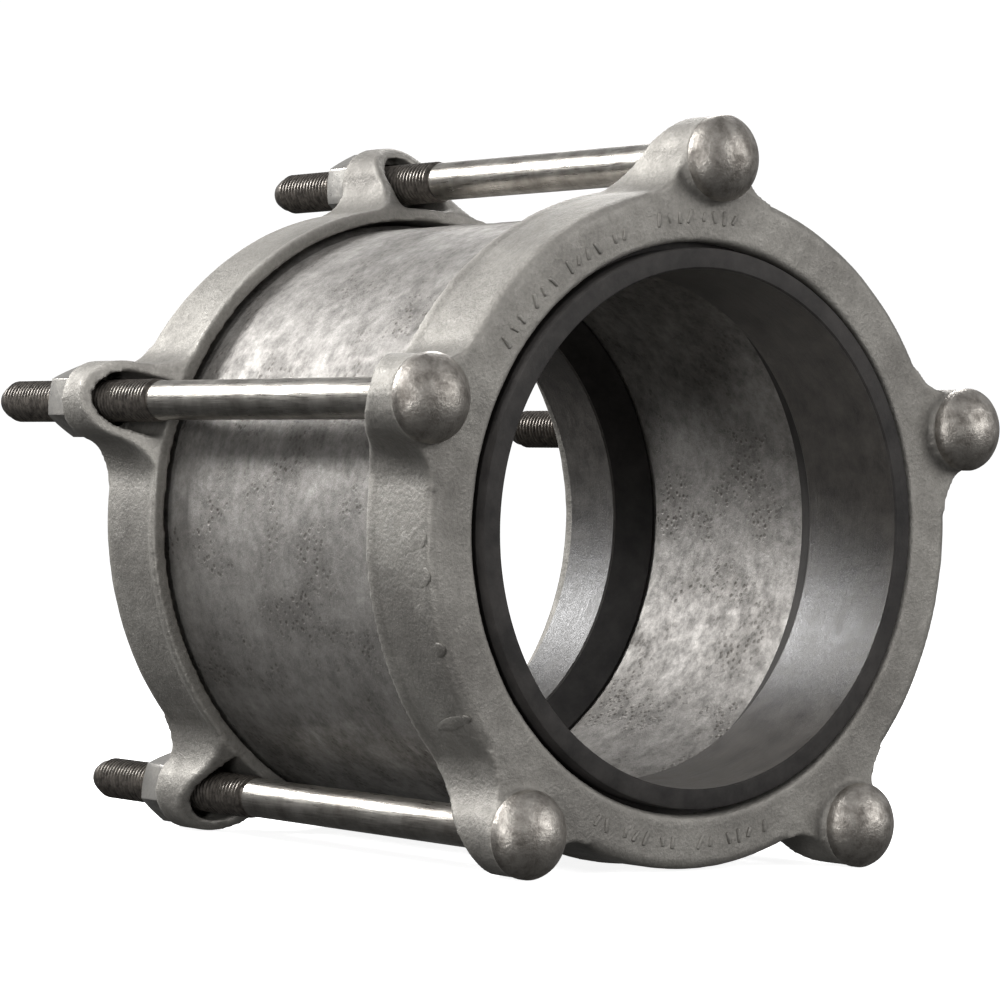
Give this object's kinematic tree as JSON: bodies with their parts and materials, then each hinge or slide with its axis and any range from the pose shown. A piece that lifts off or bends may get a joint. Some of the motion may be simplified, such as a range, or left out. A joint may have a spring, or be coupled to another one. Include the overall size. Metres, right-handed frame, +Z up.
{
  "type": "pipe coupling",
  "caption": "Bolted sleeve coupling for steel pipe: cast middle sleeve, two follower rings with lugs, rubber gaskets, long domed bolts and hex nuts that squeeze the gaskets on the pipe.",
  "frame": {"origin": "on the pipe axis, halfway between the two follower faces", "axes": "+Y along the pipe axis from the bolt heads to the nuts, +Z up through the top bolt, +X to the right seen from the head side"},
  "size_m": [0.3354, 0.338, 0.3208],
  "materials": {
    "sleeve_iron": "bare cast iron, pitted as cast, dull grey",
    "follower_iron": "bare ductile iron, fine sand-cast skin",
    "gasket_rubber": "moulded black rubber, slightly glossy",
    "bolt_steel": "forged and rolled carbon steel, bright shank, dark thread",
    "nut_steel": "bright zinc-plated steel"
  },
  "bodies": {
    "middle": {"middle_sleeve": "sleeve_iron"},
    "front_clamp": {"front_follower": "follower_iron", "bolt_top": "bolt_steel", "bolt_upper_left": "bolt_steel", "bolt_lower_left": "bolt_steel", "bolt_lower_right": "bolt_steel", "bolt_upper_right": "bolt_steel"},
    "back_clamp": {"back_follower": "follower_iron"},
    "front_gasket": {"front_gasket": "gasket_rubber"},
    "back_gasket": {"back_gasket": "gasket_rubber"},
    "nut_top": {"nut_top": "nut_steel"},
    "nut_upper_left": {"nut_upper_left": "nut_steel"},
    "nut_lower_left": {"nut_lower_left": "nut_steel"},
    "nut_lower_right": {"nut_lower_right": "nut_steel"},
    "nut_upper_right": {"nut_upper_right": "nut_steel"}
  },
  "joints": [
    {"name": "front_follower_slide", "type": "slide", "parent": "middle", "child": "front_clamp", "axis": [0, -1, 0], "range_m": [0, 0.0127]},
    {"name": "back_follower_slide", "type": "slide", "parent": "middle", "child": "back_clamp", "axis": [0, 1, 0], "range_m": [0, 0.0127]},
    {"name": "front_gasket_slide", "type": "slide", "parent": "middle", "child": "front_gasket", "axis": [0, -1, 0], "range_m": [0, 0.00635]},
    {"name": "back_gasket_slide", "type": "slide", "parent": "middle", "child": "back_gasket", "axis": [0, 1, 0], "range_m": [0, 0.00635]},
    {"name": "nut_top_turn", "type": "hinge", "parent": "back_clamp", "child": "nut_top", "pos_m": [0, 0.1257, 0.157], "axis": [0, 1, 0], "range_deg": [0, 3600]},
    {"name": "nut_upper_left_turn", "type": "hinge", "parent": "back_clamp", "child": "nut_upper_left", "pos_m": [-0.14932, 0.1257, 0.04852], "axis": [0, 1, 0], "range_deg": [0, 3600]},
    {"name": "nut_lower_left_turn", "type": "hinge", "parent": "back_clamp", "child": "nut_lower_left", "pos_m": [-0.09228, 0.1257, -0.12702], "axis": [0, 1, 0], "range_deg": [0, 3600]},
    {"name": "nut_lower_right_turn", "type": "hinge", "parent": "back_clamp", "child": "nut_lower_right", "pos_m": [0.09228, 0.1257, -0.12702], "axis": [0, 1, 0], "range_deg": [0, 3600]},
    {"name": "nut_upper_right_turn", "type": "hinge", "parent": "back_clamp", "child": "nut_upper_right", "pos_m": [0.14932, 0.1257, 0.04852], "axis": [0, 1, 0], "range_deg": [0, 3600]}
  ],
  "couplings": [
    {"joint": "back_follower_slide", "follows": "front_follower_slide", "ratio": 1},
    {"joint": "front_gasket_slide", "follows": "front_follower_slide", "ratio": 0.5},
    {"joint": "back_gasket_slide", "follows": "front_follower_slide", "ratio": 0.5},
    {"joint": "nut_top_turn", "follows": "front_follower_slide", "rad_per_m": 4947.4},
    {"joint": "nut_upper_left_turn", "follows": "front_follower_slide", "rad_per_m": 4947.4},
    {"joint": "nut_lower_left_turn", "follows": "front_follower_slide", "rad_per_m": 4947.4},
    {"joint": "nut_lower_right_turn", "follows": "front_follower_slide", "rad_per_m": 4947.4},
    {"joint": "nut_upper_right_turn", "follows": "front_follower_slide", "rad_per_m": 4947.4}
  ]
}
